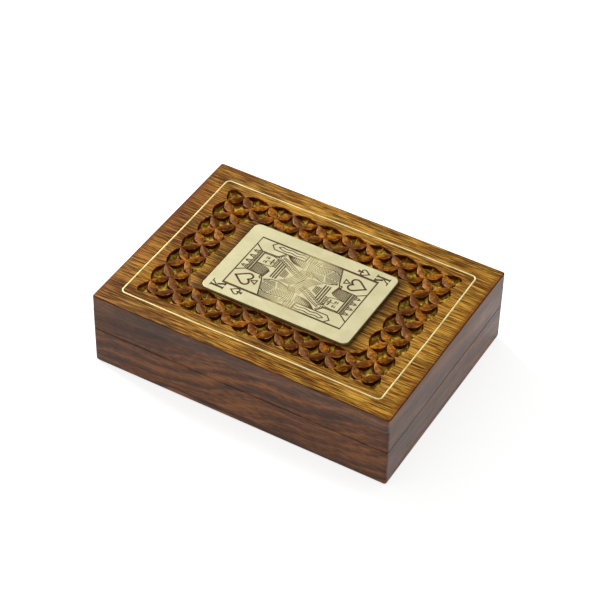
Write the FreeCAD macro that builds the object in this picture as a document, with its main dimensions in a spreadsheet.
"""Hinged wooden box for two decks of playing cards, with a carved and brass-inlaid lid.

The frame has its origin at the centre of the resting face: +X runs along the long side, +Y towards
the hinges at the back and +Z up.  The lid is shut.  All sizes are in millimetres.
"""

import FreeCAD
import Part

import math
import os

import Sketcher

SIZES = {
    # outside of the shut box
    "box_length": 152.0,
    "box_depth": 111.0,
    "box_height": 40.0,
    "corner_radius": 1.2,
    "foot_round": 1.6,
    "arris_round": 0.6,
    # boards
    "rail_thick": 8.0,
    "top_thick": 7.6,
    "bottom_thick": 4.8,
    "seam_height": 20.4,
    "seam_gap": 0.16,
    "rim_chamfer": 0.3,
    # divider between the two decks
    "divider_thick": 4.0,
    "divider_drop": 2.0,
    "divider_round": 1.0,
    "housing_depth": 2.0,
    "housing_play": 0.05,
    "scoop_radius": 18.0,
    "scoop_depth": 6.0,
    # felt linings
    "felt_thick": 1.0,
    "felt_play": 0.4,
    # brass line let into the lid
    "line_margin": 9.6,
    "line_width": 0.9,
    "line_sink": 1.2,
    "line_proud": 0.02,
    "line_radius": 2.2,
    "line_joint_y": -10.4,
    "line_joint_gap": 0.12,
    # etched brass card on the lid
    "plate_length": 75.6,
    "plate_width": 50.4,
    "plate_thick": 1.5,
    "plate_sink": 0.3,
    "plate_play": 0.15,
    "plate_radius": 3.2,
    "plate_round": 0.25,
    # carved band: petals meet at nodes, and nodes and pits alternate on a square grid
    "lattice_pitch": 6.6,
    "lattice_columns": 18.0,
    "lattice_rows": 12.0,
    "band_steps": 2.0,
    "pit_depth": 1.8,
    "node_land": 0.45,
    "petal_width": 3.1,
    "lip_reach": 2.5,
    "lip_reach_at_plate": 1.9,
    "lip_bulge": 0.25,
    "row_bow": 1.4,
    "bow_start": 30.0,
    "bow_end": 50.0,
    # butt hinges: their axis lies at the seam, just behind the back face
    "hinge_spread": 90.0,
    "hinge_length": 24.0,
    "hinge_overhang": 1.0,
    "barrel_radius": 1.5,
    "barrel_play": 0.35,
    "knuckle_count": 5.0,
    "knuckle_gap": 0.1,
    "pin_radius": 0.7,
    "pin_play": 0.06,
    "pin_head_radius": 0.95,
    "pin_head": 0.4,
    "leaf_width": 7.6,
    "leaf_thick": 0.8,
    "leaf_gap": 0.2,
    "leaf_play": 0.1,
    # countersunk screws of the hinges
    "screw_spread": 14.0,
    "screw_inset": 2.9,
    "screw_head_radius": 1.6,
    "screw_thread_radius": 0.85,
    "screw_core_radius": 0.6,
    "screw_length": 6.5,
    "screw_pitch": 0.8,
    "screw_play": 0.05,
    "screw_slot": 0.35,
    "screw_slot_depth": 0.45,
    "pilot_spare": 0.4,
}
THREADS = 6
CUT_SPARE = 1.0

doc = FreeCAD.newDocument("card_box")
sheet = doc.addObject("Spreadsheet::Sheet", "sizes")
for row, (alias, value) in enumerate(SIZES.items(), start=1):
    sheet.set(f"A{row}", alias)
    sheet.set(f"B{row}", str(value))
    sheet.setAlias(f"B{row}", alias)
doc.recompute()


def size(alias):
    """A driving dimension, read from the spreadsheet."""
    return float(sheet.get(alias))


def bound(formula):
    """A formula with its aliases in braces, as an expression over the spreadsheet's cells."""
    return formula.replace("{", "sizes.").replace("}", "")


# ---------------------------------------------------------------- helpers for bodies and sketches

def add_body(name):
    body = doc.addObject("PartDesign::Body", name)
    body.Label = name
    return body


def add_sketch(body, name, plane="XY_Plane", offset="0"):
    """A sketch on one of the body's own origin planes, lifted along the plane's normal."""
    sketch = body.newObject("Sketcher::SketchObject", f"{body.Name}_{name}")
    plane_object = next(item for item in body.Origin.OriginFeatures if item.Role == plane)
    sketch.AttachmentSupport = [(plane_object, "")]
    sketch.MapMode = "FlatFace"
    sketch.setExpression("AttachmentOffset.Base.z", bound(offset))
    return sketch


def hold(sketch, constraint, formula):
    """Adds a constraint whose value follows a formula."""
    index = sketch.addConstraint(constraint)
    sketch.setExpression(f"Constraints[{index}]", bound(formula))


def polygon(sketch, corners):
    """A closed outline whose corners are pairs of formulas, measured from the sketch's origin."""
    first = sketch.GeometryCount
    count = len(corners)
    start = []
    for step in range(count):
        turn = 2 * math.pi * step / count
        start.append(FreeCAD.Vector(10 * math.cos(turn), 10 * math.sin(turn), 0))
    for step in range(count):
        sketch.addGeometry(Part.LineSegment(start[step], start[(step + 1) % count]))
    for step in range(count):
        follower = first + (step + 1) % count
        sketch.addConstraint(Sketcher.Constraint("Coincident", first + step, 2, follower, 1))
    for step, (across, up) in enumerate(corners):
        line = first + step
        hold(sketch, Sketcher.Constraint("DistanceX", -1, 1, line, 1, start[step].x), across)
        hold(sketch, Sketcher.Constraint("DistanceY", -1, 1, line, 1, start[step].y), up)


def rectangle(sketch, left, low, right, high):
    polygon(sketch, [(left, low), (right, low), (right, high), (left, high)])


def centred(sketch, length, width):
    """A rectangle around the sketch's origin."""
    rectangle(sketch, f"-({length})/2", f"-({width})/2", f"({length})/2", f"({width})/2")


def circle(sketch, across, up, radius):
    index = sketch.addGeometry(Part.Circle(FreeCAD.Vector(1, 1, 0), FreeCAD.Vector(0, 0, 1), 1))
    hold(sketch, Sketcher.Constraint("DistanceX", -1, 1, index, 3, 1.0), across)
    hold(sketch, Sketcher.Constraint("DistanceY", -1, 1, index, 3, 1.0), up)
    hold(sketch, Sketcher.Constraint("Radius", index, 1.0), radius)


def pad(body, sketch, length):
    feature = body.newObject("PartDesign::Pad", f"{sketch.Name}_pad")
    feature.Profile = sketch
    feature.setExpression("Length", bound(length))
    doc.recompute()
    return feature


def pocket(body, sketch, length, reverse=False, both_ways=False):
    """Cuts against the sketch's normal, or along it when reversed, and makes sure that it did."""
    before = body.Shape.Volume
    feature = body.newObject("PartDesign::Pocket", f"{sketch.Name}_pocket")
    feature.Profile = sketch
    feature.Reversed = reverse
    feature.Midplane = both_ways
    feature.setExpression("Length", bound(length))
    doc.recompute()
    if body.Shape.Volume > before - 1e-6:
        raise RuntimeError(f"{feature.Name} cuts nothing")
    return feature


def pick_edges(body, wanted):
    """Names of the body's edges whose bounding box passes a test."""
    names = []
    for number, edge in enumerate(body.Shape.Edges, start=1):
        if wanted(edge.BoundBox):
            names.append(f"Edge{number}")
    return names


def dress(body, kind, name, wanted, amount):
    """A fillet or a chamfer on the edges that pass a test."""
    names = pick_edges(body, wanted)
    if not names:
        raise RuntimeError(f"{body.Name} has no edge for {name}")
    base = body.Tip
    feature = body.newObject(f"PartDesign::{kind}", f"{body.Name}_{name}")
    feature.Base = (base, names)
    feature.setExpression("Radius" if kind == "Fillet" else "Size", bound(amount))
    doc.recompute()
    return feature


def near(first, second):
    return abs(first - second) < 1e-4


def upright(box):
    return near(box.XLength, 0) and near(box.YLength, 0)


def level_at(height):
    """A test for edges that lie in one level plane."""
    return lambda box: near(box.ZMin, height) and near(box.ZMax, height)


def block(name, length, width, low, high, corner=None):
    """A body with a rectangular outline around the Z axis, from one height to another."""
    body = add_body(name)
    sketch = add_sketch(body, "outline", offset=low)
    centred(sketch, length, width)
    pad(body, sketch, f"({high})-({low})")
    if corner:
        dress(body, "Fillet", "corners", upright, corner)
    return body


# ---------------------------------------------------------------- rings of rails

RING_LENGTH = "{box_length}-2*{rail_thick}"
RING_WIDTH = "{box_depth}-2*{rail_thick}"
AXIS_Y = "{box_depth}/2+{hinge_overhang}"
HINGE_SIDES = {"left": "-{hinge_spread}/2", "right": "{hinge_spread}/2"}
DIVIDER_TOP = "{seam_height}-{divider_drop}"


def screw_places(hinge_x):
    """Centres of the two screws in one hinge leaf, as pairs of formulas."""
    row_y = f"{AXIS_Y}-{{leaf_width}}+{{screw_inset}}"
    return [(f"{hinge_x}{sign}{{screw_spread}}/2", row_y) for sign in "-+"]


def rail_ring(name, low, high, in_lid):
    """Four rails as one closed ring, open where the hinge leaves, barrels and screws go."""
    body = add_body(name)
    outline = add_sketch(body, "outline", offset=low)
    centred(outline, "{box_length}", "{box_depth}")
    centred(outline, RING_LENGTH, RING_WIDTH)
    pad(body, outline, f"({high})-({low})")

    half_length = size("box_length") / 2
    rim = size("seam_height") + (size("seam_gap") / 2 if in_lid else -size("seam_gap") / 2)
    at_rim = level_at(rim)
    dress(body, "Fillet", "corners", lambda box: upright(box) and near(abs(box.XMin), half_length),
          "{corner_radius}")
    dress(body, "Chamfer", "rim", at_rim, "{rim_chamfer}")

    if not in_lid:
        housings = add_sketch(body, "housings", offset=DIVIDER_TOP)
        centred(housings, "{divider_thick}+2*{housing_play}", f"{RING_WIDTH}+2*{{housing_depth}}")
        pocket(body, housings, f"{DIVIDER_TOP}-{{bottom_thick}}")

    for side, hinge_x in HINGE_SIDES.items():
        mortise = add_sketch(body, f"{side}_mortise", offset="{seam_height}")
        reach = "({hinge_length}/2+{leaf_play})"
        rectangle(mortise, f"{hinge_x}-{reach}", f"{AXIS_Y}-{{leaf_width}}-{{leaf_play}}",
                  f"{hinge_x}+{reach}", f"{AXIS_Y}")
        pocket(body, mortise, "{leaf_gap}/2+{leaf_thick}", reverse=in_lid)

        relief = add_sketch(body, f"{side}_relief", plane="YZ_Plane",
                            offset=f"{hinge_x}-{{hinge_length}}/2-{{pin_head}}-{{leaf_play}}")
        circle(relief, AXIS_Y, "{seam_height}", "{barrel_radius}+{barrel_play}")
        pocket(body, relief, "{hinge_length}+2*{pin_head}+2*{leaf_play}", reverse=True)

        pilots = add_sketch(body, f"{side}_pilots", offset="{seam_height}")
        for across, up in screw_places(hinge_x):
            circle(pilots, across, up, "{screw_thread_radius}+{screw_play}")
        pocket(body, pilots, "{leaf_gap}/2+{screw_length}+{pilot_spare}", reverse=in_lid)
    return body


def mitre_wedge(side):
    """The part of the plan that one mitred rail takes, a little larger than the rail itself."""
    body = add_body(f"{side}_wedge")
    sketch = add_sketch(body, "outline")
    spare = f"{CUT_SPARE}"
    outer_x = f"({{box_length}}/2+{spare})"
    outer_y = f"({{box_depth}}/2+{spare})"
    inner_x = f"({{box_length}}/2-{{rail_thick}}-{spare})"
    inner_y = f"({{box_depth}}/2-{{rail_thick}}-{spare})"
    sign = "-" if side in ("front", "left") else ""
    if side in ("front", "back"):
        corners = [(f"-{outer_x}", f"{sign}{outer_y}"), (f"{outer_x}", f"{sign}{outer_y}"),
                   (f"{inner_x}", f"{sign}{inner_y}"), (f"-{inner_x}", f"{sign}{inner_y}")]
    else:
        corners = [(f"{sign}{outer_x}", f"-{outer_y}"), (f"{sign}{outer_x}", f"{outer_y}"),
                   (f"{sign}{inner_x}", f"{inner_y}"), (f"{sign}{inner_x}", f"-{inner_y}")]
    polygon(sketch, corners)
    pad(body, sketch, "{box_height}")
    return body


def add_rails(half, low, high, in_lid):
    """Four mitred rails: the ring shared out among the wedges of the plan."""
    ring = rail_ring(f"{half}_ring", low, high, in_lid)
    rails = []
    for side, wedge in wedges.items():
        rail = doc.addObject("Part::Common", f"{half}_{side}_rail")
        rail.Label = rail.Name
        rail.Base = ring
        rail.Tool = wedge
        rails.append(rail)
    return rails


# ---------------------------------------------------------------- lid panel, its inlays and carving

def line_ring(name, low, high):
    """The closed rectangular track of the brass line, with rounded corners."""
    body = add_body(name)
    sketch = add_sketch(body, "track", offset=low)
    for sign in "+-":
        centred(sketch, f"{{box_length}}-2*{{line_margin}}{sign}{{line_width}}",
                f"{{box_depth}}-2*{{line_margin}}{sign}{{line_width}}")
    pad(body, sketch, f"({high})-({low})")
    middle = size("box_length") / 2 - size("line_margin")
    dress(body, "Fillet", "outer_corners", lambda box: upright(box) and abs(box.XMin) > middle,
          "{line_radius}+{line_width}/2")
    dress(body, "Fillet", "inner_corners",
          lambda box: upright(box) and abs(abs(box.XMin) - middle + size("line_width") / 2) < 1e-4
          and abs(box.YMin) > size("box_depth") / 2 - 2 * size("line_margin"),
          "{line_radius}-{line_width}/2")
    return body


def add_brass_line():
    """One length of brass strip bent round the lid, its two ends meeting on the right side."""
    body = line_ring("brass_line", "{box_height}-{line_sink}", "{box_height}+{line_proud}")
    sketch = add_sketch(body, "joint", offset="{box_height}+{line_proud}")
    middle = "{box_length}/2-{line_margin}"
    rectangle(sketch, f"{middle}-{{line_width}}", "{line_joint_y}-{line_joint_gap}/2",
              f"{middle}+{{line_width}}", "{line_joint_y}+{line_joint_gap}/2")
    pocket(body, sketch, "{line_sink}+{line_proud}")
    return body


def add_card_plate():
    """The brass card that stands a little proud of the lid."""
    low = "{box_height}-{plate_sink}"
    body = block("brass_card_plate", "{plate_length}", "{plate_width}", low,
                 f"{low}+{{plate_thick}}", corner="{plate_radius}")
    top = size("box_height") - size("plate_sink") + size("plate_thick")
    dress(body, "Fillet", "top_edge", level_at(top), "{plate_round}")
    return body


def in_band(column, row):
    """Whether a grid point belongs to the carved band."""
    columns, rows, steps = (int(size(n)) for n in ("lattice_columns", "lattice_rows", "band_steps"))
    if not (0 <= column <= columns and 0 <= row <= rows):
        return False
    return min(column, columns - column, row, rows - row) <= steps


def lattice_point(column, row):
    """A grid point on the lid; rows beside the plate bow outwards to leave it room."""
    across = (column - size("lattice_columns") / 2) * size("lattice_pitch")
    half_rows = size("lattice_rows") / 2
    up = (row - half_rows) * size("lattice_pitch")
    steps_in = half_rows - abs(row - half_rows)
    fade = (size("bow_end") - abs(across)) / (size("bow_end") - size("bow_start"))
    fade = min(1.0, max(0.0, fade))
    if steps_in <= size("band_steps"):
        bow = size("row_bow") * steps_in / size("band_steps") * fade * fade * (3 - 2 * fade)
        up += math.copysign(bow, up)
    return FreeCAD.Vector(across, up, 0)


def lip_point(centre, column, row, direction):
    """The blunt outer corner of a pit at an edge of the band, where no petal meets it."""
    inward = direction[1] * (row - size("lattice_rows") / 2) < 0
    reach = size("lip_reach_at_plate") if inward else size("lip_reach")
    return centre + FreeCAD.Vector(direction[0], direction[1], 0) * reach


def pit_outline(column, row):
    """A pit's outline: concave sides along petals and blunt lips at the edges of the band."""
    centre = lattice_point(column, row)
    corners = []
    for direction in ((1, 0), (0, 1), (-1, 0), (0, -1)):
        neighbour = (column + direction[0], row + direction[1])
        at_node = in_band(*neighbour)
        if at_node:
            node = lattice_point(*neighbour)
            corners.append((node, node + (centre - node).normalize() * size("node_land"), True))
        else:
            tip = lip_point(centre, column, row, direction)
            corners.append((tip, tip, False))
    edges = []
    for here, there in zip(corners, corners[1:] + corners[:1]):
        middle = (here[0] + there[0]) * 0.5
        inward = centre - middle
        chord = there[0] - here[0]
        normal = inward - chord * (inward.dot(chord) / chord.dot(chord))
        normal.normalize()
        if here[2] and there[2]:
            through = middle + normal * (size("petal_width") / 2)
        else:
            through = (here[1] + there[1]) * 0.5 - normal * size("lip_bulge")
        edges.append(Part.Arc(here[1], through, there[1]).toShape())
    return Part.Wire(edges)


def add_pits():
    """The carver's pits as one group of short prisms that reach above the lid."""
    depth = size("pit_depth")
    prisms = []
    for column in range(int(size("lattice_columns")) + 1):
        for row in range(int(size("lattice_rows")) + 1):
            if (column + row) % 2 == 0 and in_band(column, row):
                face = Part.Face(pit_outline(column, row))
                prisms.append(face.extrude(FreeCAD.Vector(0, 0, depth + CUT_SPARE)))
    pits = doc.addObject("Part::Feature", "pits")
    pits.Shape = Part.makeCompound(prisms)
    pits.Placement = FreeCAD.Placement(
        FreeCAD.Vector(0, 0, size("box_height") - depth), FreeCAD.Rotation())
    return pits


def add_top_panel():
    """The thick lid board, with its channel, plate seat and carved band cut from above."""
    low = "{box_height}-{top_thick}"
    blank = block("lid_blank", "{box_length}", "{box_depth}", low, "{box_height}",
                  corner="{corner_radius}")
    dress(blank, "Fillet", "arris", level_at(size("box_height")), "{arris_round}")
    above = f"{{box_height}}+{CUT_SPARE}"
    channel = line_ring("line_channel", "{box_height}-{line_sink}", above)
    seat = block("plate_seat", "{plate_length}+2*{plate_play}", "{plate_width}+2*{plate_play}",
                 "{box_height}-{plate_sink}", above, corner="{plate_radius}+{plate_play}")
    tools = doc.addObject("Part::MultiFuse", "lid_cutters")
    tools.Shapes = [channel, seat, add_pits()]
    panel = doc.addObject("Part::Cut", "lid_top_panel")
    panel.Label = panel.Name
    panel.Base = blank
    panel.Tool = tools
    return panel


# ---------------------------------------------------------------- inside the box

def add_bottom_panel():
    body = block("bottom_panel", "{box_length}", "{box_depth}", "0", "{bottom_thick}",
                 corner="{corner_radius}")
    dress(body, "Fillet", "foot", level_at(0), "{foot_round}")
    return body


def add_divider():
    """The wall between the decks, housed in the front and back rails, with a finger scoop."""
    body = block("centre_divider", "{divider_thick}", f"{RING_WIDTH}+2*{{housing_depth}}",
                 "{bottom_thick}", DIVIDER_TOP)
    scoop = add_sketch(body, "scoop", plane="YZ_Plane")
    circle(scoop, "0", f"{DIVIDER_TOP}+{{scoop_radius}}-{{scoop_depth}}", "{scoop_radius}")
    pocket(body, scoop, "2*{divider_thick}", both_ways=True)
    inside = size("box_depth") / 2 - size("rail_thick")
    low = size("bottom_thick")
    half_thick = size("divider_thick") / 2

    def top_edge(box):
        along = near(abs(box.XMin), half_thick) and near(box.XLength, 0)
        return along and box.ZMin > low + 1 and box.YLength > 1 and box.YMax <= inside + 3

    dress(body, "Fillet", "top_edges", top_edge, "{divider_round}")
    return body


def add_felt(name, left, right, width, low):
    """A flat felt lining, a little smaller than the floor it is glued to."""
    body = add_body(name)
    sketch = add_sketch(body, "outline", offset=low)
    rectangle(sketch, f"{left}+{{felt_play}}", f"-({width})/2+{{felt_play}}",
              f"{right}-{{felt_play}}", f"({width})/2-{{felt_play}}")
    pad(body, sketch, "{felt_thick}")
    return body


# ---------------------------------------------------------------- hinges

def add_leaf(name, hinge_x, in_lid):
    """One leaf of a butt hinge with its share of the knuckles, bore and screw holes."""
    body = add_body(name)
    low = "{seam_height}+{leaf_gap}/2" if in_lid else "{seam_height}-{leaf_gap}/2-{leaf_thick}"
    flat = add_sketch(body, "flat", offset=low)
    rectangle(flat, f"{hinge_x}-{{hinge_length}}/2", f"{AXIS_Y}-{{leaf_width}}",
              f"{hinge_x}+{{hinge_length}}/2", AXIS_Y)
    pad(body, flat, "{leaf_thick}")

    barrel = add_sketch(body, "barrel", plane="YZ_Plane", offset=f"{hinge_x}-{{hinge_length}}/2")
    circle(barrel, AXIS_Y, "{seam_height}", "{barrel_radius}")
    pad(body, barrel, "{hinge_length}")

    count = int(size("knuckle_count"))
    gaps = add_sketch(body, "gaps", offset="{seam_height}")
    for knuckle in range(0 if in_lid else 1, count, 2):
        start = f"{hinge_x}-{{hinge_length}}/2+{knuckle}*{{hinge_length}}/{{knuckle_count}}"
        stop = f"{start}+{{hinge_length}}/{{knuckle_count}}"
        before = f"{CUT_SPARE}" if knuckle == 0 else "{knuckle_gap}"
        after = f"{CUT_SPARE}" if knuckle == count - 1 else "{knuckle_gap}"
        rectangle(gaps, f"{start}-{before}", f"{AXIS_Y}-{{barrel_radius}}-{{barrel_play}}",
                  f"{stop}+{after}", f"{AXIS_Y}+2*{{barrel_radius}}")
    pocket(body, gaps, "4*{barrel_radius}", both_ways=True)

    bore = add_sketch(body, "bore", plane="YZ_Plane",
                      offset=f"{hinge_x}-{{hinge_length}}/2-{CUT_SPARE}")
    circle(bore, AXIS_Y, "{seam_height}", "{pin_radius}+{pin_play}")
    pocket(body, bore, f"{{hinge_length}}+2*{CUT_SPARE}", reverse=True)

    holes = add_sketch(body, "screw_holes", offset="{seam_height}")
    for across, up in screw_places(hinge_x):
        circle(holes, across, up, "{screw_thread_radius}+{screw_play}")
    pocket(body, holes, "2*{leaf_thick}", reverse=in_lid)
    radius = size("screw_thread_radius") + size("screw_play")
    face = size("seam_height") + (1 if in_lid else -1) * size("leaf_gap") / 2

    def hole_mouth(box):
        return near(box.ZMax, face) and near(box.ZMin, face) and near(box.YLength, 2 * radius)

    dress(body, "Chamfer", "countersinks", hole_mouth, "{screw_head_radius}-{screw_thread_radius}")
    return body


def add_pin(name, hinge_x):
    """A hinge pin with a small flat head peened over at each end of the barrel."""
    body = add_body(name)
    shank = add_sketch(body, "shank", plane="YZ_Plane", offset=f"{hinge_x}-{{hinge_length}}/2")
    circle(shank, AXIS_Y, "{seam_height}", "{pin_radius}")
    pad(body, shank, "{hinge_length}")
    for end, start in (("near", f"{hinge_x}-{{hinge_length}}/2-{{pin_head}}"),
                       ("far", f"{hinge_x}+{{hinge_length}}/2")):
        head = add_sketch(body, f"{end}_head", plane="YZ_Plane", offset=start)
        circle(head, AXIS_Y, "{seam_height}", "{pin_head_radius}")
        pad(body, head, "{pin_head}")
    return body


def add_screw(name, place, in_lid, turn):
    """A slotted countersunk wood screw, drawn head up at the origin and then put in place."""
    body = add_body(name)
    profile = add_sketch(body, "profile", plane="XZ_Plane")
    neck = "-{leaf_thick}"
    corners = [("0", "0"), ("{screw_head_radius}", "0"),
               ("{screw_thread_radius}", "{screw_thread_radius}-{screw_head_radius}"),
               ("{screw_thread_radius}", neck), ("{screw_core_radius}", f"{neck}-0.1*{{screw_pitch}}")]
    for turn_number in range(THREADS):
        crest = f"{neck}-{turn_number + 0.6}*{{screw_pitch}}"
        root = f"{neck}-{turn_number + 1.1}*{{screw_pitch}}"
        corners += [("{screw_thread_radius}", crest), ("{screw_core_radius}", root)]
    corners.append(("0", "-{screw_length}"))
    polygon(profile, corners)
    revolution = body.newObject("PartDesign::Revolution", f"{name}_revolution")
    revolution.Profile = profile
    revolution.ReferenceAxis = (profile, ["V_Axis"])
    revolution.Angle = 360
    doc.recompute()

    slot = add_sketch(body, "slot")
    centred(slot, "2*{screw_head_radius}+0.4", "{screw_slot}")
    pocket(body, slot, "{screw_slot_depth}")

    flip = FreeCAD.Rotation(FreeCAD.Vector(1, 0, 0), 180 if in_lid else 0)
    body.Placement = FreeCAD.Placement(
        FreeCAD.Vector(0, 0, 0), flip * FreeCAD.Rotation(FreeCAD.Vector(0, 0, 1), turn))
    body.setExpression("Placement.Base.x", bound(place[0]))
    body.setExpression("Placement.Base.y", bound(place[1]))
    height = "{seam_height}+{leaf_gap}/2" if in_lid else "{seam_height}-{leaf_gap}/2"
    body.setExpression("Placement.Base.z", bound(height))
    return body


def add_hinge(side, hinge_x):
    """A complete butt hinge: two leaves, a pin and four screws, each with its own slot angle."""
    pieces = [add_pin(f"{side}_hinge_pin", hinge_x)]
    for half, in_lid in (("base", False), ("lid", True)):
        pieces.append(add_leaf(f"{side}_hinge_{half}_leaf", hinge_x, in_lid))
        for number, place in enumerate(screw_places(hinge_x), start=1):
            turn = 37 * number + (64 if in_lid else 0) + (25 if side == "left" else 0)
            pieces.append(add_screw(f"{side}_hinge_{half}_screw_{number}", place, in_lid, turn))
    return pieces


# ---------------------------------------------------------------- assembly

wedges = {side: mitre_wedge(side) for side in ("front", "back", "left", "right")}
BASE_RIM = "{seam_height}-{seam_gap}/2"
LID_RIM = "{seam_height}+{seam_gap}/2"
LID_ROOF = "{box_height}-{top_thick}"
WALL_IN = f"({RING_LENGTH})/2"

pieces = [add_bottom_panel(), add_divider()]
pieces += add_rails("base", "{bottom_thick}", BASE_RIM, in_lid=False)
pieces += add_rails("lid", LID_RIM, LID_ROOF, in_lid=True)
pieces.append(add_top_panel())
pieces.append(add_brass_line())
pieces.append(add_card_plate())
pieces.append(add_felt("left_felt", f"-{WALL_IN}", "-{divider_thick}/2", RING_WIDTH,
                       "{bottom_thick}"))
pieces.append(add_felt("right_felt", "{divider_thick}/2", WALL_IN, RING_WIDTH, "{bottom_thick}"))
pieces.append(add_felt("lid_felt", f"-{WALL_IN}", WALL_IN, RING_WIDTH,
                       f"{LID_ROOF}-{{felt_thick}}"))
for side, hinge_x in HINGE_SIDES.items():
    pieces += add_hinge(side, hinge_x)
doc.recompute()

for item in doc.Objects:
    if "Invalid" in item.State or "Error" in item.State:
        raise RuntimeError(f"{item.Name} failed: {item.State}")
for piece in pieces:
    if piece.Shape.isNull() or not piece.Shape.isValid() or len(piece.Shape.Solids) != 1:
        raise RuntimeError(f"{piece.Label} is not one valid solid")

os.makedirs("parts", exist_ok=True)
for piece in pieces:
    piece.Shape.exportStep(f"parts/{piece.Label}.step")
    box = piece.Shape.BoundBox
    print(f"{piece.Label:32s} {piece.Shape.Volume:10.2f} mm3  x {box.XMin:7.2f} {box.XMax:7.2f}"
          f"  y {box.YMin:7.2f} {box.YMax:7.2f}  z {box.ZMin:6.2f} {box.ZMax:6.2f}")
